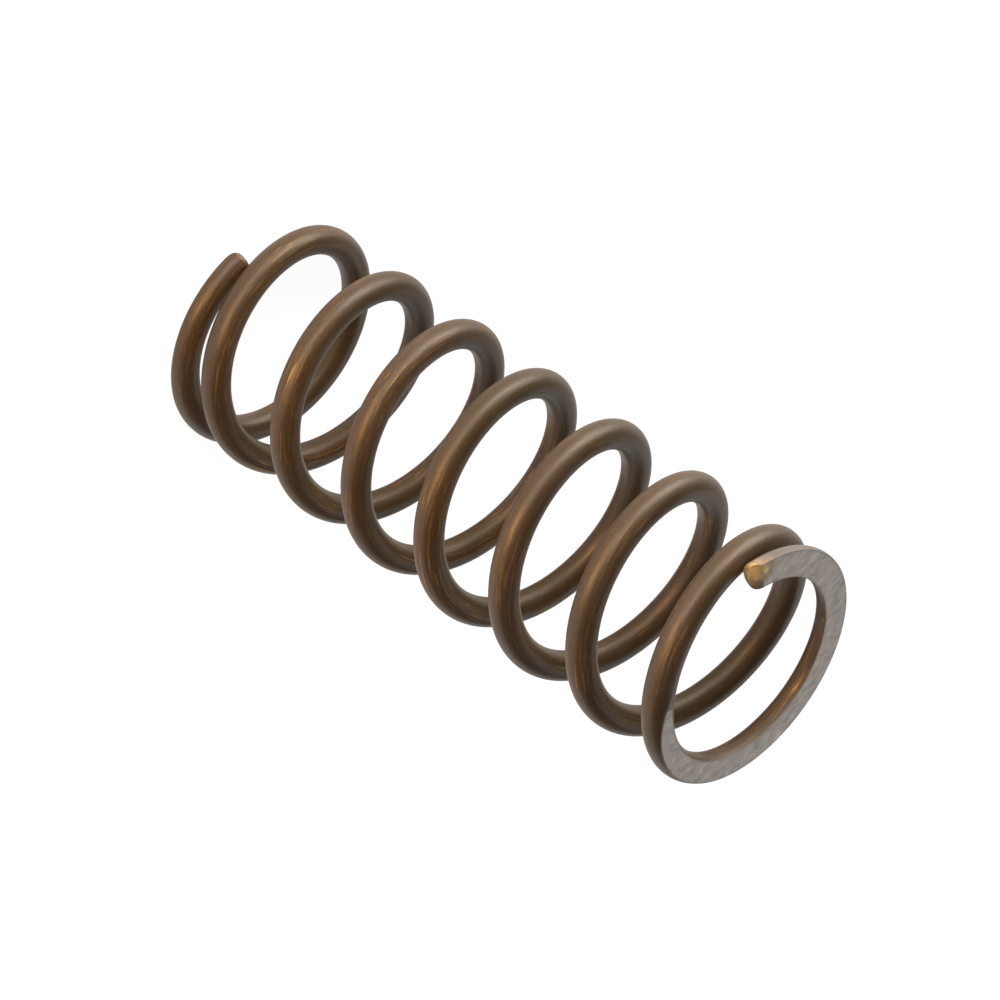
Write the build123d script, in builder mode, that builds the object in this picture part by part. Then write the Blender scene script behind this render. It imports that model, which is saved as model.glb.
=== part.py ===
from build123d import *
from math import cos, pi, sin, sqrt, tau
import os

os.makedirs("parts", exist_ok=True)

# Small compression spring, wound right-handed from one round wire.
# Both ends are closed, so each tip lies against the next coil, and then ground flat.
# It stands on its lower end: Z is the spring's axis and Z = 0 is the lower ground face.

# ---- Driving sizes, mm ----
wire_diameter = 1.0
outer_diameter = 8.5
free_length = 23.0      # ground face to ground face, unloaded
total_turns = 7.96      # along the wire from tip to tip
closed_lead = 0.33      # rise per turn of the nearly level wire that closes each end
tip_clearance = 0.03    # left between a tip and the coil that comes round to it
tip_thickness = 0.6     # what grinding leaves of the wire at its tip
stations_per_turn = 5   # places in each turn where the arcs meet the true coil

# ---- Sizes that follow ----
coil_radius = (outer_diameter - wire_diameter) / 2
tip_height = tip_thickness - wire_diameter / 2
closed_rise = wire_diameter + tip_clearance
active_lead = (free_length - 2 * (tip_height + closed_rise)) / (total_turns - 2)
added_lead = active_lead - closed_lead

# The lead grows from closed to active in the last part of the first turn.
# Its mean there is halfway between the two, so the length of that part sets the turn's rise.
ramp_turns = 2 * (closed_rise - closed_lead) / added_lead


def ramp_share(turns):
    """How far along the ramp the wire is at this many turns from its tip, from 0 to 1."""
    return min(1, max(0, 1 - (1 - turns) / ramp_turns))


def lead_from_tip(turns):
    """Rise per turn of the wire at this many turns from its tip."""
    share = ramp_share(turns)
    return closed_lead + added_lead * (3 * share**2 - 2 * share**3)


def rise_from_tip(turns):
    """Rise of the wire's centre from its tip to this many turns along."""
    share = ramp_share(turns)
    rise_on_ramp = added_lead * ramp_turns * (share**3 - share**4 / 2)
    return closed_lead * turns + rise_on_ramp + added_lead * max(0, turns - 1)


def wire_centre(turns):
    """Centre of the wire, this many turns above its lower tip. The two ends are alike."""
    turns_left = total_turns - turns
    if turns < turns_left:
        height = tip_height + rise_from_tip(turns)
    else:
        height = free_length - tip_height - rise_from_tip(turns_left)
    return Vector(coil_radius * cos(tau * turns), coil_radius * sin(tau * turns), height)


def wire_heading(turns):
    """Direction in which the wire runs upwards, this many turns above its lower tip."""
    lead = lead_from_tip(min(turns, total_turns - turns))
    slope = lead / (tau * coil_radius)
    return Vector(-sin(tau * turns), cos(tau * turns), slope).normalized()


def add_arc_pair(lower, upper):
    """Join two stations of the wire by two arcs that are tangent to it and to each other."""
    start, end = wire_centre(lower), wire_centre(upper)
    start_heading, end_heading = wire_heading(lower), wire_heading(upper)
    chord = end - start
    headings = start_heading + end_heading
    turning = 2 * (1 - start_heading.dot(end_heading))
    reach = (sqrt(chord.dot(headings) ** 2 + turning * chord.dot(chord)) - chord.dot(headings)) / turning
    first_corner = start + start_heading * reach
    second_corner = end - end_heading * reach
    joint = (first_corner + second_corner) * 0.5
    TangentArc(start, joint, tangent=start_heading)
    TangentArc(joint, end, tangent=second_corner - first_corner)


# ---- Spring: one wire, coiled with a varying lead and ground at both ends ----
station_count = round(total_turns * stations_per_turn)
stations = [total_turns * step / station_count for step in range(station_count + 1)]
lower_tip_plane = Plane(origin=wire_centre(0), x_dir=(-1, 0, 0), z_dir=wire_heading(0))
lower_ground_plane = Plane.XY
upper_ground_plane = Plane.XY.offset(free_length)

with BuildPart() as spring:
    with BuildLine() as centre_line:
        for lower, upper in zip(stations, stations[1:]):
            add_arc_pair(lower, upper)
    with BuildSketch(lower_tip_plane):
        Circle(wire_diameter / 2)
    sweep(path=centre_line.line)
    split(bisect_by=lower_ground_plane, keep=Keep.TOP)
    split(bisect_by=upper_ground_plane, keep=Keep.BOTTOM)

spring.part.label = "spring"
export_step(spring.part, "parts/spring.step")

wire_length = sum(edge.length for edge in centre_line.edges())
wire_volume = wire_length * pi * (wire_diameter / 2) ** 2
print(f"active lead {active_lead:.3f} mm, ramp {ramp_turns:.3f} turns, wire {wire_length:.1f} mm")
print(f"volume {spring.part.volume:.2f} mm3, before grinding {wire_volume:.2f} mm3")
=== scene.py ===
"""Small compression spring: one round wire, coiled right-handed, closed and ground at its ends."""

import logging
from dataclasses import dataclass, field
from enum import Enum
from functools import cached_property
from math import acos, atan, cos, pi, radians, sin, sqrt, tau
from typing import NamedTuple, TypeAlias

import bmesh
import bpy
from mathutils import Matrix, Vector


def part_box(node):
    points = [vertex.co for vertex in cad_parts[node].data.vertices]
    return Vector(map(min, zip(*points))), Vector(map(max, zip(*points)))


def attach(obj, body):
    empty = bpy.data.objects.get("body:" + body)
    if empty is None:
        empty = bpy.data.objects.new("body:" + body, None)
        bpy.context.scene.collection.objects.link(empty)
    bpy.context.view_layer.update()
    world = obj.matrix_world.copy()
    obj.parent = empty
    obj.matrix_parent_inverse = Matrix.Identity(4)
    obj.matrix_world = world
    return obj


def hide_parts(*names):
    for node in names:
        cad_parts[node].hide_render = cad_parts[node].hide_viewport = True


Triple: TypeAlias = tuple[float, float, float]
Colour: TypeAlias = Triple                  # red, green and blue, from 0 to 1
Socket: TypeAlias = bpy.types.NodeSocket

MM = 0.001
PLACES_PER_TURN = 1000                      # where the end of a ground flat is looked for
SKIN_IOR = 1.5                              # the same for every finish

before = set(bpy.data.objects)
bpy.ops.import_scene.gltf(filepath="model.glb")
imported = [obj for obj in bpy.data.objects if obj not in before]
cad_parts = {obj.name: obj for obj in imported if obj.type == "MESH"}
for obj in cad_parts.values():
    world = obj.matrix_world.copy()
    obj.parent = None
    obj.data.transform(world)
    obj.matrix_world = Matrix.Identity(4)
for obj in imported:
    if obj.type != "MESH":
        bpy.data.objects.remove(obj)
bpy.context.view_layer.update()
log = logging.getLogger("spring")


class End(Enum):
    """The two ends of the wire. The value is the side of the section that is ground there."""

    LOWER = -1
    UPPER = 1


# ---------------------------------------------------------------- the wire's path


@dataclass(frozen=True)
class Coil:
    """Path of the wire's centre, from the lower tip: even turns between two closed ends."""

    wire_diameter: float = 1.0 * MM
    outer_diameter: float = 8.5 * MM
    free_length: float = 23.0 * MM
    total_turns: float = 7.96
    closed_lead: float = 0.33 * MM
    tip_clearance: float = 0.03 * MM
    tip_thickness: float = 0.6 * MM

    @cached_property
    def wire_radius(self) -> float:
        """Radius of the round wire."""
        return self.wire_diameter / 2

    @cached_property
    def radius(self) -> float:
        """Radius of the coil at the middle of the wire."""
        return (self.outer_diameter - self.wire_diameter) / 2

    @cached_property
    def tip_height(self) -> float:
        """Height of the wire's middle above the ground face, at its tip."""
        return self.tip_thickness - self.wire_radius

    @cached_property
    def closed_rise(self) -> float:
        """Rise of the first turn, which brings the wire round to just clear its tip."""
        return self.wire_diameter + self.tip_clearance

    @cached_property
    def active_lead(self) -> float:
        """Rise per turn between the two closed ends."""
        free_rise = self.free_length - 2 * (self.tip_height + self.closed_rise)
        return free_rise / (self.total_turns - 2)

    @cached_property
    def ramp_turns(self) -> float:
        """Length, in turns, of the stretch where the lead grows from closed to active."""
        return 2 * (self.closed_rise - self.closed_lead) / (self.active_lead - self.closed_lead)

    def turns_from(self, end: End, turns: float) -> float:
        """Turns from one of the tips, for a place given in turns above the lower one."""
        return turns if end is End.LOWER else self.total_turns - turns

    def turns_from_tip(self, turns: float) -> float:
        """Turns from the nearer tip, for a place given in turns above the lower one."""
        return min(turns, self.total_turns - turns)

    def ramp_share(self, from_tip: float) -> float:
        """How far along the ramp, from 0 to 1, the wire is at so many turns from a tip."""
        return min(1.0, max(0.0, 1 - (1 - from_tip) / self.ramp_turns))

    def rise(self, from_tip: float) -> float:
        """Rise of the wire's middle from its tip.

        Args:
            from_tip: Turns from the nearer tip.

        Returns:
            The rise in metres.
        """
        share = self.ramp_share(from_tip)
        added_lead = self.active_lead - self.closed_lead
        on_ramp = added_lead * self.ramp_turns * (share**3 - share**4 / 2)
        return self.closed_lead * from_tip + on_ramp + added_lead * max(0.0, from_tip - 1)

    def height(self, turns: float) -> float:
        """Height of the wire's middle above the lower ground face, at turns above the lower tip."""
        rise = self.tip_height + self.rise(self.turns_from_tip(turns))
        return rise if turns < self.total_turns / 2 else self.free_length - rise

    def lead_angle(self, turns: float) -> float:
        """Slope of the wire against the level.

        Args:
            turns: Turns above the lower tip.

        Returns:
            The angle in radians.
        """
        share = self.ramp_share(self.turns_from_tip(turns))
        added_lead = self.active_lead - self.closed_lead
        lead = self.closed_lead + added_lead * (3 * share**2 - 2 * share**3)
        return atan(lead / (tau * self.radius))

    def section_frame(self, turns: float) -> Matrix:
        """Where the wire's section stands: X away from the axis, Y up and Z back along the wire.

        Args:
            turns: Turns above the lower tip.

        Returns:
            The matrix that takes a section drawn about the origin to its place.
        """
        turn = Matrix.Rotation(tau * turns, 4, "Z")
        lift = Matrix.Translation((self.radius, 0, self.height(turns)))
        upright = Matrix.Rotation(pi / 2, 4, "X")
        slope = Matrix.Rotation(self.lead_angle(turns), 4, "X")
        return turn @ lift @ slope @ upright

    def ground_half_angle(self, turns: float, end: End) -> float:
        """Half of the angle that the ground flat takes out of the wire's round section.

        Args:
            turns: Turns above the lower tip.
            end: The end whose flat is asked for.

        Returns:
            The angle in radians, 0 where the wire is clear of that end's grinding.
        """
        height = self.height(turns)
        clear = height if end is End.LOWER else self.free_length - height
        depth = clear / (self.wire_radius * cos(self.lead_angle(turns)))
        return acos(depth) if depth < 1 else 0.0

    @cached_property
    def flat_turns(self) -> float:
        """Turns from a tip to where the ground flat runs out."""
        places = (place / PLACES_PER_TURN for place in range(PLACES_PER_TURN))
        return next(turns for turns in places if not self.ground_half_angle(turns, End.LOWER))


# ---------------------------------------------------------------- finishes


class Ramp(NamedTuple):
    """A smooth change from start to end, while the value that it reads goes from low to high."""

    low: float
    high: float
    start: float = 0.0
    end: float = 1.0


@dataclass(frozen=True)
class Noise:
    """Pattern of soft random lumps, with values from 0 to 1."""

    scale: float                        # lumps for each metre
    detail: float = 4                   # number of finer layers
    roughness: float = 0.6              # strength of the finer layers
    stretch: Triple | None = None       # factors along X, Y and Z, under 1 to draw lumps out


def add_node(tree: bpy.types.NodeTree, kind: str, **settings: object) -> bpy.types.Node:
    """Adds a shader node and sets its plain properties.

    Args:
        tree: The material's node tree.
        kind: The node's type name, such as ShaderNodeMix.
        **settings: Properties of the node and their values.

    Returns:
        The new node.
    """
    node = tree.nodes.new(kind)
    for name, value in settings.items():
        setattr(node, name, value)
    return node


@dataclass
class Shading:
    """A material in the making, with short ways to add the nodes that its pattern needs."""

    name: str
    material: bpy.types.Material = field(init=False)
    tree: bpy.types.NodeTree = field(init=False)
    surface: bpy.types.Node = field(init=False)

    def __post_init__(self) -> None:
        """Makes the material with its surface shader."""
        self.material = bpy.data.materials.new(self.name)
        self.material.use_nodes = True
        self.tree = self.material.node_tree
        self.surface = self.tree.nodes["Principled BSDF"]

    def coordinates(self) -> Socket:
        """The place on the object, in metres."""
        return add_node(self.tree, "ShaderNodeTexCoord").outputs["Object"]

    def straightened(self) -> Socket:
        """The place on the wire as if it lay straight: length along it, across it and up."""
        return self.attribute("straightened").outputs["Vector"]

    def attribute(self, name: str) -> bpy.types.Node:
        """The node that reads the mesh's own attribute of that name."""
        return add_node(self.tree, "ShaderNodeAttribute", attribute_name=name)

    def stretched(self, place: Socket, factors: Triple) -> Socket:
        """A place scaled differently along each axis.

        Args:
            place: The place to scale.
            factors: Factors along X, Y and Z.

        Returns:
            The scaled place.
        """
        mapping = add_node(self.tree, "ShaderNodeMapping")
        mapping.inputs["Scale"].default_value = factors
        self.tree.links.new(place, mapping.inputs["Vector"])
        return mapping.outputs["Vector"]

    def noise(self, place: Socket, pattern: Noise) -> Socket:
        """Reads a noise pattern.

        Args:
            place: Where the pattern is read.
            pattern: The pattern.

        Returns:
            Its values, from 0 to 1.
        """
        if pattern.stretch is not None:
            place = self.stretched(place, pattern.stretch)
        node = add_node(self.tree, "ShaderNodeTexNoise")
        node.inputs["Scale"].default_value = pattern.scale
        node.inputs["Detail"].default_value = pattern.detail
        node.inputs["Roughness"].default_value = pattern.roughness
        self.tree.links.new(place, node.inputs["Vector"])
        return node.outputs["Fac"]

    def ramped(self, value: Socket, ramp: Ramp) -> Socket:
        """A value carried smoothly from one range to another.

        Args:
            value: The value to carry over.
            ramp: The two ranges.

        Returns:
            The new value.
        """
        node = add_node(self.tree, "ShaderNodeMapRange", interpolation_type="SMOOTHSTEP")
        for name, number in zip(("From Min", "From Max", "To Min", "To Max"), ramp):
            node.inputs[name].default_value = number
        self.tree.links.new(value, node.inputs["Value"])
        return node.outputs["Result"]

    def math(self, operation: str, first: Socket | float, second: Socket | float = 0.0) -> Socket:
        """Arithmetic on one or two values.

        Args:
            operation: The operation's name, such as MULTIPLY.
            first: The first value, or a fixed number.
            second: The second value, or a fixed number.

        Returns:
            The result.
        """
        node = add_node(self.tree, "ShaderNodeMath", operation=operation)
        for socket, value in zip(node.inputs, (first, second)):
            if isinstance(value, Socket):
                self.tree.links.new(value, socket)
            else:
                socket.default_value = value
        return node.outputs["Value"]

    def swayed(self, value: Socket, noise: Socket, swing: float) -> Socket:
        """A value made uneven by a noise, which pushes it up and down over the swing's width."""
        sway = self.math("MULTIPLY", self.math("SUBTRACT", noise, 0.5), swing)
        return self.math("ADD", value, sway)

    def mixed(self, share: Socket, first: Socket | Colour, second: Socket | Colour) -> Socket:
        """Two colours mixed by a value.

        Args:
            share: 0 for the first colour, 1 for the second.
            first: A colour or a socket that gives one.
            second: A colour or a socket that gives one.

        Returns:
            The mixed colour.
        """
        node = add_node(self.tree, "ShaderNodeMix", data_type="RGBA")
        self.tree.links.new(share, node.inputs["Factor"])
        for name, colour in (("A", first), ("B", second)):
            socket = next(s for s in node.inputs if s.name == name and s.type == "RGBA")
            if isinstance(colour, Socket):
                self.tree.links.new(colour, socket)
            else:
                socket.default_value = (*colour, 1)
        return next(s for s in node.outputs if s.type == "RGBA")

    def part(self, place: Socket, axis: str) -> Socket:
        """Takes one part of a place.

        Args:
            place: The place.
            axis: X, Y or Z.

        Returns:
            The part.
        """
        node = add_node(self.tree, "ShaderNodeSeparateXYZ")
        self.tree.links.new(place, node.inputs["Vector"])
        return node.outputs[axis]

    def distance(self, place: Socket, centre: Triple) -> Socket:
        """Measures how far a place is from a centre.

        Args:
            place: The place.
            centre: The centre.

        Returns:
            The distance.
        """
        node = add_node(self.tree, "ShaderNodeVectorMath", operation="DISTANCE")
        node.inputs[1].default_value = centre
        self.tree.links.new(place, node.inputs[0])
        return node.outputs["Value"]

    def bump(self, height: Socket, depth: float) -> Socket:
        """Fine relief.

        Args:
            height: Relief from 0 to 1.
            depth: Depth in metres that 1 stands for.

        Returns:
            The bent normal.
        """
        node = add_node(self.tree, "ShaderNodeBump")
        node.inputs["Distance"].default_value = depth
        self.tree.links.new(height, node.inputs["Height"])
        return node.outputs["Normal"]

    def set(self, **inputs: Socket | Colour | float) -> None:
        """Sets or links the surface shader's inputs, named in lower case with underscores.

        Args:
            **inputs: Numbers, colours or sockets.
        """
        for name, value in inputs.items():
            socket = self.surface.inputs[name.replace("_", " ").title().replace("Ior", "IOR")]
            if isinstance(value, Socket):
                self.tree.links.new(value, socket)
            else:
                socket.default_value = (*value, 1) if isinstance(value, tuple) else value


@dataclass(frozen=True)
class HeatTint:
    """Straw-gold patch that the heat of cutting left round the upper tip, over any finish."""

    gold: Colour = (0.90, 0.62, 0.25)
    straw: Colour = (0.60, 0.39, 0.16)
    brown: Colour = (0.36, 0.26, 0.15)

    # the patch's centre on the straightened wire, and how far it reaches from there
    along: float = 0.18 * MM            # from the tip, along the wire
    across: float = 0.22 * MM           # from the wire's middle, outwards
    up: float = 0.02 * MM               # and towards the ground face
    core_reach: float = 0.22 * MM
    inner_reach: float = 0.46 * MM
    outer_reach: float = 0.72 * MM

    blotches: Noise = Noise(4200, detail=3, roughness=0.55)
    straw_blotches: Ramp = Ramp(0.42, 0.64)
    swing: float = 0.28 * MM            # how uneven the blotches make its edges

    def over(self, shading: Shading, colour: Socket, wire_length: float,
             strength: float = 1.0) -> Socket:
        """Lays the tint over a finish.

        Args:
            shading: The finish's nodes.
            colour: The finish's own colour.
            wire_length: Length of the wire, which puts the upper tip on the straightened wire.
            strength: How fully the tint covers the finish in the middle of the patch.

        Returns:
            The tinted colour.
        """
        centre = (wire_length - self.along, self.across, self.up)
        blotches = shading.noise(shading.coordinates(), self.blotches)
        away = shading.distance(shading.straightened(), centre)
        away = shading.swayed(away, blotches, self.swing)
        tint = shading.mixed(shading.ramped(blotches, self.straw_blotches), self.gold, self.straw)
        past_core = shading.ramped(away, Ramp(self.core_reach, self.inner_reach))
        tint = shading.mixed(past_core, tint, self.brown)
        within = shading.ramped(away, Ramp(self.outer_reach, self.inner_reach, 0, strength))
        return shading.mixed(within, colour, tint)


@dataclass(frozen=True)
class TemperedWire:
    """Drawn spring wire, streaked along its length, with the bronze-brown skin of its tempering."""

    brown: Colour = (0.083, 0.040, 0.010)
    olive: Colour = (0.069, 0.037, 0.009)
    plum: Colour = (0.087, 0.047, 0.025)
    # gold of the painted glints, flecks of colour that stand in for glints of light
    gold: Colour = (0.66, 0.37, 0.12)
    dark: Colour = (0.032, 0.017, 0.005)
    # paler colour: skimmed steel beside the ground faces, and a band on the flank near the upper
    # tip
    paler: Colour = (0.195, 0.158, 0.130)

    # patterns on the straightened wire, all drawn out along it
    tints: Noise = Noise(900, detail=2, roughness=0.55, stretch=(0.22, 1, 1))
    patches: Noise = Noise(1500, detail=3, roughness=0.55, stretch=(0.30, 1, 1))
    scratches: Noise = Noise(7000, stretch=(0.15, 1, 1))
    streaks: Noise = Noise(16000, detail=5, roughness=0.62, stretch=(0.045, 1, 1))
    grain: Noise = Noise(21000, detail=3, stretch=(0.35, 1, 1))

    # where each colour shows on them: the painted gold glints lie where a streak meets a tint
    olive_tints: Ramp = Ramp(0.40, 0.62)
    plum_patches: Ramp = Ramp(0.48, 0.70)
    dark_grain: Ramp = Ramp(0.60, 0.40, 0, 0.45)
    painted_glint_streaks: Ramp = Ramp(0.53, 0.72, 0, 0.7)
    painted_glint_tints: Ramp = Ramp(0.56, 0.36)

    # where the wire is made paler: skimmed bare by the wheel beside both ground faces, and in a
    # band on the flank near the upper tip
    skimmed_depth: Ramp = Ramp(0.05 * MM, 0.0, 0, 0.9)              # below a ground plane
    skimmed_swing: float = 0.12 * MM
    flank_depth: Ramp = Ramp(0.52 * MM, 0.32 * MM, 0, 0.8)          # below a ground plane
    flank_swing: float = 0.5 * MM
    flank_length: Ramp = Ramp(5.0 * MM, 1.5 * MM)                   # from the upper tip
    heat_strength: float = 0.35                                     # of the heat tint over it all

    # gloss
    metallic: Ramp = Ramp(0.0, 0.5, 0.10, 0.75)                     # without and with a painted gold glint
    roughness: Ramp = Ramp(0.3, 0.7, 0.39, 0.51)                    # between and on the streaks
    specular_level: float = 0.85
    specular_tint: Colour = (1.0, 0.86, 0.72)
    streak_height: float = 0.004 * MM

    def build(self, coil: Coil, wire_length: float, heat: HeatTint) -> bpy.types.Material:
        """Makes the material.

        Args:
            coil: The coil whose ends are rubbed beside their ground faces.
            wire_length: Length of the wire, which puts the upper tip on the straightened wire.
            heat: The tint round the upper tip.

        Returns:
            The material.
        """
        shading = Shading("tempered_wire")
        place = shading.straightened()
        streaks = shading.noise(place, self.streaks)
        grain = shading.noise(place, self.grain)
        patches = shading.noise(place, self.patches)
        tints = shading.noise(place, self.tints)
        # painted glints: gold laid into the colour where a streak meets a tint
        painted_glints = shading.math(
            "MULTIPLY",
            shading.ramped(streaks, self.painted_glint_streaks),
            shading.ramped(tints, self.painted_glint_tints),
        )
        colour = shading.mixed(shading.ramped(tints, self.olive_tints), self.brown, self.olive)
        colour = shading.mixed(shading.ramped(patches, self.plum_patches), colour, self.plum)
        colour = shading.mixed(shading.ramped(grain, self.dark_grain), colour, self.dark)
        # the painted glints, in gold
        colour = shading.mixed(painted_glints, colour, self.gold)
        colour = shading.mixed(self.made_paler(shading, coil, wire_length, patches), colour, self.paler)
        shading.set(
            base_color=heat.over(shading, colour, wire_length, self.heat_strength),
            metallic=shading.ramped(painted_glints, self.metallic),
            roughness=shading.ramped(streaks, self.roughness),
            ior=SKIN_IOR,
            specular_ior_level=self.specular_level,
            specular_tint=self.specular_tint,
            normal=shading.bump(streaks, self.streak_height),
        )
        return shading.material

    def made_paler(self, shading: Shading, coil: Coil, wire_length: float, patches: Socket) -> Socket:
        """How much paler the wire is made, skimmed bare beside the ground faces and in a band on
        the flank near the upper tip.

        Args:
            shading: The material's nodes.
            coil: The coil, for its ground planes.
            wire_length: Length of the wire.
            patches: A slow noise that makes the wear uneven.

        Returns:
            The share of the paler colour.
        """
        half_length = coil.free_length / 2
        height = shading.part(shading.coordinates(), "Z")
        from_middle = shading.math("ABSOLUTE", shading.math("SUBTRACT", height, half_length))
        below_plane = shading.math("SUBTRACT", half_length, from_middle)
        skimmed = shading.swayed(below_plane, patches, self.skimmed_swing)
        scratches = shading.noise(shading.straightened(), self.scratches)
        flank = shading.swayed(below_plane, scratches, self.flank_swing)
        along = shading.part(shading.straightened(), "X")
        from_tip = shading.math("SUBTRACT", wire_length, along)
        # a paler band on the flank near the upper tip
        paler = shading.math(
            "MULTIPLY",
            shading.ramped(from_tip, self.flank_length),
            shading.ramped(flank, self.flank_depth),
        )
        return shading.math("MAXIMUM", shading.ramped(skimmed, self.skimmed_depth), paler)


@dataclass(frozen=True)
class GroundFace:
    """Bare steel of the ground ends: pinkish grey, streaked by the wheel and brown at its edges."""

    grey: Colour = (0.52, 0.455, 0.410)
    dark: Colour = (0.31, 0.260, 0.225)
    pale: Colour = (0.80, 0.72, 0.66)
    brown: Colour = (0.24, 0.165, 0.105)

    mottle: Noise = Noise(4600, stretch=(1, 0.5, 1))
    strokes: Noise = Noise(15000, stretch=(1, 0.16, 1))
    grain: Noise = Noise(17000, detail=3, roughness=0.65)

    # where each colour shows
    dark_mottle: Ramp = Ramp(0.47, 0.68, 0, 0.7)
    pale_mottle: Ramp = Ramp(0.45, 0.28, 0, 0.7)
    dark_grain: Ramp = Ramp(0.50, 0.30, 0, 0.5)
    pale_strokes: Ramp = Ramp(0.52, 0.74, 0, 0.6)
    brown_rim: Ramp = Ramp(0.84, 1.05, 0, 0.75)
    rim_swing: float = 0.6

    metallic: float = 0.30
    roughness: Ramp = Ramp(0.3, 0.7, 0.38, 0.54)        # over the grain
    stroke_height: float = 0.002 * MM

    def build(self, wire_length: float, heat: HeatTint) -> bpy.types.Material:
        """Makes the material.

        Args:
            wire_length: Length of the wire.
            heat: The tint round the upper tip.

        Returns:
            The material.
        """
        shading = Shading("ground_face")
        place = shading.coordinates()
        strokes = shading.noise(place, self.strokes)
        grain = shading.noise(place, self.grain)
        mottle = shading.noise(place, self.mottle)
        rim = shading.swayed(shading.attribute("rim").outputs["Fac"], strokes, self.rim_swing)
        colour = shading.mixed(shading.ramped(mottle, self.dark_mottle), self.grey, self.dark)
        colour = shading.mixed(shading.ramped(mottle, self.pale_mottle), colour, self.pale)
        colour = shading.mixed(shading.ramped(grain, self.dark_grain), colour, self.dark)
        colour = shading.mixed(shading.ramped(strokes, self.pale_strokes), colour, self.pale)
        colour = shading.mixed(shading.ramped(rim, self.brown_rim), colour, self.brown)
        shading.set(
            base_color=heat.over(shading, colour, wire_length),
            metallic=self.metallic,
            roughness=shading.ramped(grain, self.roughness),
            ior=SKIN_IOR,
            normal=shading.bump(strokes, self.stroke_height),
        )
        return shading.material


@dataclass(frozen=True)
class ShearedTip:
    """The wire's cut end, torn by the shears, rubbed round and tinted by the heat."""

    bare: Colour = (0.22, 0.155, 0.095)
    stained: Colour = (0.14, 0.092, 0.050)
    tears: Noise = Noise(5200)
    stained_tears: Ramp = Ramp(0.36, 0.60)
    metallic: float = 0.25
    roughness: float = 0.5
    tear_height: float = 0.006 * MM

    def build(self, wire_length: float, heat: HeatTint) -> bpy.types.Material:
        """Makes the material.

        Args:
            wire_length: Length of the wire.
            heat: The tint round the upper tip.

        Returns:
            The material.
        """
        shading = Shading("sheared_tip")
        tears = shading.noise(shading.coordinates(), self.tears)
        colour = shading.mixed(shading.ramped(tears, self.stained_tears), self.bare, self.stained)
        shading.set(
            base_color=heat.over(shading, colour, wire_length),
            metallic=self.metallic,
            roughness=self.roughness,
            ior=SKIN_IOR,
            normal=shading.bump(tears, self.tear_height),
        )
        return shading.material


class Finish(Enum):
    """Place of each finish in the spring's material list."""

    WIRE = 0
    GROUND = 1
    TIP = 2


# ---------------------------------------------------------------- the spring


class SectionPoint(NamedTuple):
    """A point of the wire's section: its place from the wire's middle, and on a ground flat."""

    across: float
    up: float
    on_flat: bool
    rim: float      # 0 in the middle of the flat, 1 at its edges


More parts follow.
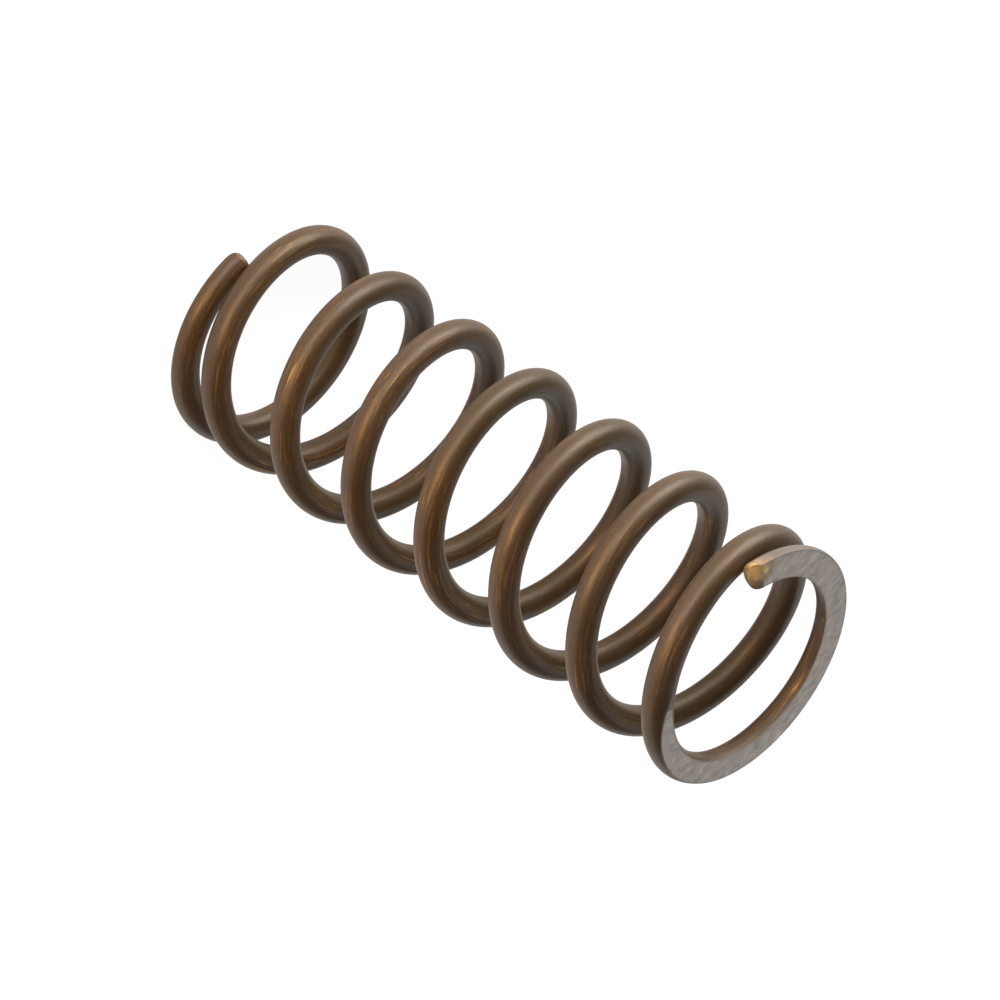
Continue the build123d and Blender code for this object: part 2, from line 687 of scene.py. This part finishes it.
@dataclass
class Spring:
    """The whole spring: one wire with a ground flat and a sheared tip at each end."""

    coil: Coil = Coil()

    # rings of the mesh, along the wire
    steps_per_turn: int = 150
    round_steps: int = 7                        # closer ones where a tip is rounded
    even_from: float = 1.1                      # the others start this many roundings from a tip

    # points of each ring, round the wire
    side_points: int = 11                       # on each flank, between the two flats
    flat_points: int = 13                       # across each flat, corners counted
    resting_half_angle: float = radians(48)     # half of the angle that they take where it is round
    least_half_angle: float = radians(4)        # and at the very end of a flat
    widening_turns: float = 0.35                # over which the one grows to the other

    face_round: float = 0.40 * MM               # radius that a ground face ends in at its tip
    side_round: float = 0.13 * MM               # radius round the rest of the tip
    seam_gap: float = 0.001 * MM                # within which the two sides of the seam are joined
    sharp_angle: float = radians(32)            # edges sharper than this stay crisp

    wire_finish: TemperedWire = TemperedWire()
    ground_finish: GroundFace = GroundFace()
    tip_finish: ShearedTip = ShearedTip()
    heat: HeatTint = HeatTint()

    @property
    def points(self) -> int:
        """Points round the wire's section."""
        return 2 * (self.flat_points + self.side_points)

    def from_tip(self, turns: float, end: End) -> float:
        """Length of wire from one of the tips to a place in turns above the lower one."""
        return self.coil.turns_from(end, turns) * tau * self.coil.radius

    def rounded_off(self, radius: float, from_tip: float) -> float:
        """How deep a tip's rounding goes: its radius at the tip, and 0 from a radius away."""
        left = max(0.0, 1 - from_tip / radius)
        return radius * (1 - sqrt(1 - left * left))

    def flat_half_angle(self, turns: float, end: End) -> float:
        """Half of the section's angle that a ground flat takes, rounded off at its tip."""
        sunk = self.rounded_off(self.face_round, self.from_tip(turns, end))
        return acos(cos(self.coil.ground_half_angle(turns, end)) - sunk / self.coil.wire_radius)

    def rings(self) -> list[float]:
        """Places of the wire's sections, in turns above the lower tip: closer where it is rounded.

        Returns:
            The places, from tip to tip.
        """
        total = self.coil.total_turns
        steps = round(total * self.steps_per_turn)
        even = [total * step / steps for step in range(steps + 1)]
        clear = self.face_round / (tau * self.coil.radius)
        angles = [pi / 2 * step / self.round_steps for step in range(self.round_steps + 1)]
        rounded = [clear * (1 - cos(angle)) for angle in angles]
        margin = self.even_from * clear
        middle = [turn for turn in even if margin < turn < total - margin]
        return rounded + middle + [total - turn for turn in reversed(rounded)]

    def spread(self, turns: float, end: End) -> float:
        """Half of the section's angle over which one end's flat points are spread.

        Args:
            turns: Turns above the lower tip.
            end: The end that the flat belongs to.

        Returns:
            The ground flat's own half angle, and past it one that grows to the resting one.
        """
        ground = self.flat_half_angle(turns, end)
        past_flat = self.coil.turns_from(end, turns) - self.coil.flat_turns
        widening = min(1.0, max(0.0, past_flat / self.widening_turns))
        smooth = widening * widening * (3 - 2 * widening)
        relaxed = self.least_half_angle + (self.resting_half_angle - self.least_half_angle) * smooth
        return max(ground, relaxed)

    def section(self, turns: float) -> list[SectionPoint]:
        """The wire's section with what grinding has left of it, counter-clockwise.

        Args:
            turns: Turns above the lower tip.

        Returns:
            The section's points, the first of them where the upper flat starts on the outer side.
        """
        nearest = min(self.from_tip(turns, end) for end in End)
        radius = self.coil.wire_radius - self.rounded_off(self.side_round, nearest)
        halves = {end: self.spread(turns, end) for end in End}
        outline: list[SectionPoint] = []
        for end, other in ((End.UPPER, End.LOWER), (End.LOWER, End.UPPER)):
            ground = self.flat_half_angle(turns, end)
            half, middle = halves[end], end.value * pi / 2
            corner = radius * sin(ground)
            for number in range(self.flat_points):
                share = 2 * number / (self.flat_points - 1) - 1
                angle = middle + half * share
                across = -end.value * share * corner if ground >= half else radius * cos(angle)
                on_flat = ground >= abs(half * share) and ground > 0
                up = end.value * radius * cos(ground) if on_flat else radius * sin(angle)
                rim = abs(across) / corner if on_flat else 1.0
                outline.append(SectionPoint(across, up, on_flat, rim))
            start, stop = middle + half, middle + pi - halves[other]
            for number in range(1, self.side_points + 1):
                angle = start + (stop - start) * number / (self.side_points + 1)
                outline.append(SectionPoint(radius * cos(angle), radius * sin(angle), False, 1.0))
        return outline

    def wind(self, mesh: bmesh.types.BMesh) -> float:
        """Winds the wire's skin: a sheet is rolled up lengthwise and laid along the coil.

        Args:
            mesh: The mesh to wind into.

        Returns:
            The wire's length.
        """
        flat = mesh.verts.layers.int.new("flat")
        rim = mesh.verts.layers.float.new("rim")
        straightened = mesh.verts.layers.float_vector.new("straightened")
        turns = self.rings()
        steps = len(turns) - 1
        half_sheet = 0.5        # half the side of the flat sheet, which is centred on 0
        bmesh.ops.create_grid(mesh, x_segments=steps, y_segments=self.points, size=half_sheet)
        places = [self.coil.section_frame(turn) for turn in turns]
        outlines = [self.section(turn) for turn in turns]
        lengths = [0.0]
        for lower, upper in zip(places, places[1:]):
            lengths.append(lengths[-1] + (upper.translation - lower.translation).length)
        for vert in mesh.verts:
            step = round((vert.co.x + half_sheet) * steps)
            point = round((vert.co.y + half_sheet) * self.points) % self.points
            spot = outlines[step][point]
            vert.co = places[step] @ Vector((spot.across, spot.up, 0))
            vert[flat], vert[rim] = int(spot.on_flat), spot.rim
            vert[straightened] = (lengths[step], spot.across, spot.up)
        seam = [vert for vert in mesh.verts if vert.is_boundary]
        bmesh.ops.remove_doubles(mesh, verts=seam, dist=self.seam_gap)
        return lengths[-1]

    def close_tips(self, mesh: bmesh.types.BMesh) -> None:
        """Closes the two open ends of the wound wire."""
        open_edges = [edge for edge in mesh.edges if edge.is_boundary]
        bmesh.ops.holes_fill(mesh, edges=open_edges, sides=0)

    def mark_finishes(self, mesh: bmesh.types.BMesh, length: float) -> None:
        """Gives each face its finish.

        Args:
            mesh: The closed wire.
            length: The wire's length.
        """
        flat = mesh.verts.layers.int["flat"]
        straightened = mesh.verts.layers.float_vector["straightened"]
        for face in mesh.faces:
            face.smooth = True
            on_flat = all(vert[flat] for vert in face.verts)
            along = sum(vert[straightened].x for vert in face.verts) / len(face.verts)
            from_tip = min(along, length - along)
            if from_tip < (self.face_round if on_flat else self.side_round):
                face.material_index = Finish.TIP.value
            elif on_flat:
                face.material_index = Finish.GROUND.value

    def build(self) -> bpy.types.Object:
        """Builds and dresses the spring.

        Returns:
            The finished object.
        """
        mesh = bmesh.new()
        length = self.wind(mesh)
        self.close_tips(mesh)
        bmesh.ops.recalc_face_normals(mesh, faces=mesh.faces[:])
        self.mark_finishes(mesh, length)
        data = bpy.data.meshes.new("spring_wire")
        mesh.to_mesh(data)
        mesh.free()
        data.set_sharp_from_angle(angle=self.sharp_angle)
        data.materials.append(self.wire_finish.build(self.coil, length, self.heat))
        data.materials.append(self.ground_finish.build(length, self.heat))
        data.materials.append(self.tip_finish.build(length, self.heat))
        wire = bpy.data.objects.new("spring_wire", data)
        bpy.context.scene.collection.objects.link(wire)
        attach(wire, "root")
        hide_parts("spring")
        return wire


# ---------------------------------------------------------------- the studio


@dataclass(frozen=True)
class Lamp:
    """Soft rectangular lamp that points at the middle of the spring, in lengths of the spring."""

    name: str
    azimuth: float          # degrees round the spring from +X towards +Y
    elevation: float        # degrees above the level
    reach: float            # distance from the spring
    width: float            # level side
    height: float           # other side
    level: float            # light on a surface facing it, where 1 shows white as white
    colour: Colour = (1, 1, 1)

    def build(self, length: float) -> bpy.types.Object:
        """Adds the lamp.

        Args:
            length: The spring's length.

        Returns:
            The lamp.
        """
        distance = self.reach * length
        data = bpy.data.lights.new(self.name, "AREA")
        data.shape = "RECTANGLE"
        data.size, data.size_y = self.width * length, self.height * length
        # white takes pi of light, and the lamp's power is spread over pi times its distance squared
        data.energy = self.level * pi * (pi * distance * distance)
        data.color = self.colour
        lamp = bpy.data.objects.new(self.name, data)
        bpy.context.scene.collection.objects.link(lamp)
        around, above = radians(self.azimuth), radians(self.elevation)
        away = Vector((cos(around) * cos(above), sin(around) * cos(above), sin(above)))
        lamp.location = Vector((0, 0, length / 2)) + away * distance
        lamp.rotation_mode = "QUATERNION"
        lamp.rotation_quaternion = away.to_track_quat("Z", "Y")
        lamp.visible_camera = False
        return lamp


@dataclass
class Studio:
    """Plain white floor and soft light, sized from the spring."""

    length: float
    floor_reach: float = 60         # from its middle to its sides, in lengths of the spring
    floor_white: float = 0.945      # how white the floor looks before any light falls on it
    floor_share: float = 0.20       # how much of the light and shadow on it shows
    floor_bounce: float = 0.5       # how much of its light it throws back at the spring
    horizon: float = 1.0            # strength of the surrounding light, low down
    overhead: float = 0.14          # and above
    sky_fade: Ramp = Ramp(0.07, 0.22)       # heights in the sky, from 0 to 1, between the two
    lamps: tuple[Lamp, ...] = (
        Lamp("left_lamp", -72, 10, reach=4, width=2.4, height=1.5, level=0.50),
        Lamp("middle_lamp", -40, 10, reach=4, width=2.4, height=1.5, level=0.39),
        Lamp("right_lamp", 0, 10, reach=4, width=2.0, height=1.5, level=0.30),
        Lamp("warm_lamp", 33, 0, reach=2.3, width=0.4, height=0.4, level=0.46,
             colour=(1.0, 0.60, 0.25)),
        Lamp("face_lamp", 202, 35, reach=5, width=3, height=2, level=0.105),
    )

    def build_floor(self) -> bpy.types.Object:
        """Builds the white floor that the spring stands on.

        Returns:
            The floor.
        """
        mesh = bmesh.new()
        reach = self.floor_reach * self.length
        bmesh.ops.create_grid(mesh, x_segments=1, y_segments=1, size=reach)
        data = bpy.data.meshes.new("floor")
        mesh.to_mesh(data)
        mesh.free()
        data.materials.append(self.floor_material())
        floor = bpy.data.objects.new("floor", data)
        bpy.context.scene.collection.objects.link(floor)
        return floor

    def floor_material(self) -> bpy.types.Material:
        """Makes the floor's finish: matte, to take the shadow, with a glow that only shows.

        Returns:
            The material.
        """
        material = bpy.data.materials.new("white_floor")
        material.use_nodes = True
        tree = material.node_tree
        tree.nodes.clear()
        output = add_node(tree, "ShaderNodeOutputMaterial")
        matte = add_node(tree, "ShaderNodeBsdfDiffuse")
        white = add_node(tree, "ShaderNodeEmission")
        both = add_node(tree, "ShaderNodeAddShader")
        share = add_node(tree, "ShaderNodeMapRange")
        share.inputs["To Min"].default_value = self.floor_bounce
        share.inputs["To Max"].default_value = self.floor_share
        glow = add_node(tree, "ShaderNodeMapRange")
        glow.inputs["To Max"].default_value = self.floor_white
        seen = self.seen(tree)
        tree.links.new(seen, share.inputs["Value"])
        tree.links.new(seen, glow.inputs["Value"])
        tree.links.new(share.outputs["Result"], matte.inputs["Color"])
        tree.links.new(glow.outputs["Result"], white.inputs["Strength"])
        tree.links.new(matte.outputs["BSDF"], both.inputs[0])
        tree.links.new(white.outputs["Emission"], both.inputs[1])
        tree.links.new(both.outputs["Shader"], output.inputs["Surface"])
        return material

    @staticmethod
    def seen(tree: bpy.types.NodeTree) -> Socket:
        """1 on the rays that show a surface, straight, in metal or through glass, and otherwise 0.

        Args:
            tree: The node tree to add to.

        Returns:
            The value.
        """
        path = add_node(tree, "ShaderNodeLightPath")
        seen = path.outputs["Is Camera Ray"]
        for kind in ("Is Glossy Ray", "Is Transmission Ray"):
            either = add_node(tree, "ShaderNodeMath", operation="MAXIMUM")
            tree.links.new(seen, either.inputs[0])
            tree.links.new(path.outputs[kind], either.inputs[1])
            seen = either.outputs["Value"]
        return seen

    def build_sky(self) -> None:
        """Surrounds the scene with soft light, white at the horizon and dim overhead."""
        world = bpy.data.worlds.new("studio")
        world.use_nodes = True
        bpy.context.scene.world = world
        tree = world.node_tree
        background = tree.nodes["Background"]
        background.inputs["Color"].default_value = (1, 1, 1, 1)
        direction = add_node(tree, "ShaderNodeTexCoord").outputs["Generated"]
        parts = add_node(tree, "ShaderNodeSeparateXYZ")
        strength = add_node(tree, "ShaderNodeMapRange", interpolation_type="SMOOTHSTEP")
        strength.inputs["From Min"].default_value = self.sky_fade.low
        strength.inputs["From Max"].default_value = self.sky_fade.high
        strength.inputs["To Min"].default_value = self.horizon
        strength.inputs["To Max"].default_value = self.overhead
        tree.links.new(direction, parts.inputs["Vector"])
        tree.links.new(parts.outputs["Z"], strength.inputs["Value"])
        tree.links.new(strength.outputs["Result"], background.inputs["Strength"])

    def build(self) -> None:
        """Builds the floor, the surrounding light and the lamps."""
        self.build_floor()
        self.build_sky()
        for lamp in self.lamps:
            lamp.build(self.length)


@dataclass(frozen=True)
class Camera:
    """A long lens above the spring, rolled so that the spring's upper end comes lower right."""

    place: Triple = (103.716 * MM, 42.348 * MM, 84.800 * MM)
    right: Triple = (-0.19902, -0.69945, 0.68641)
    up: Triple = (0.59839, -0.64142, -0.48011)
    lens: float = 148.3         # focal length and width of the sensor, both in millimetres
    sensor: float = 36
    nearest: float = 1 * MM
    farthest: float = 10

    def build(self) -> bpy.types.Object:
        """Adds the camera and makes it the scene's own.

        Returns:
            The camera.
        """
        data = bpy.data.cameras.new("camera")
        data.lens, data.sensor_width = self.lens, self.sensor
        data.clip_start, data.clip_end = self.nearest, self.farthest
        camera = bpy.data.objects.new("camera", data)
        bpy.context.scene.collection.objects.link(camera)
        right, up = Vector(self.right).normalized(), Vector(self.up).normalized()
        back = right.cross(up).normalized()
        turn = Matrix((right, up, back)).transposed().to_4x4()
        camera.matrix_world = Matrix.Translation(self.place) @ turn
        bpy.context.scene.camera = camera
        return camera


def main() -> None:
    """Builds the spring, the studio and the camera."""
    logging.basicConfig(level=logging.INFO, format="%(name)s: %(message)s")
    bpy.context.scene.view_settings.view_transform = "Standard"
    low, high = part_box("spring")
    wire = Spring().build()
    log.info("%s: %d faces", wire.name, len(wire.data.polygons))
    studio = Studio(length=high[2] - low[2])
    studio.build()
    log.info("studio: floor, sky and %d lamps", len(studio.lamps))
    camera = Camera().build()
    log.info("%s: lens of %.1f mm", camera.name, camera.data.lens)


if __name__ == "__main__":
    main()
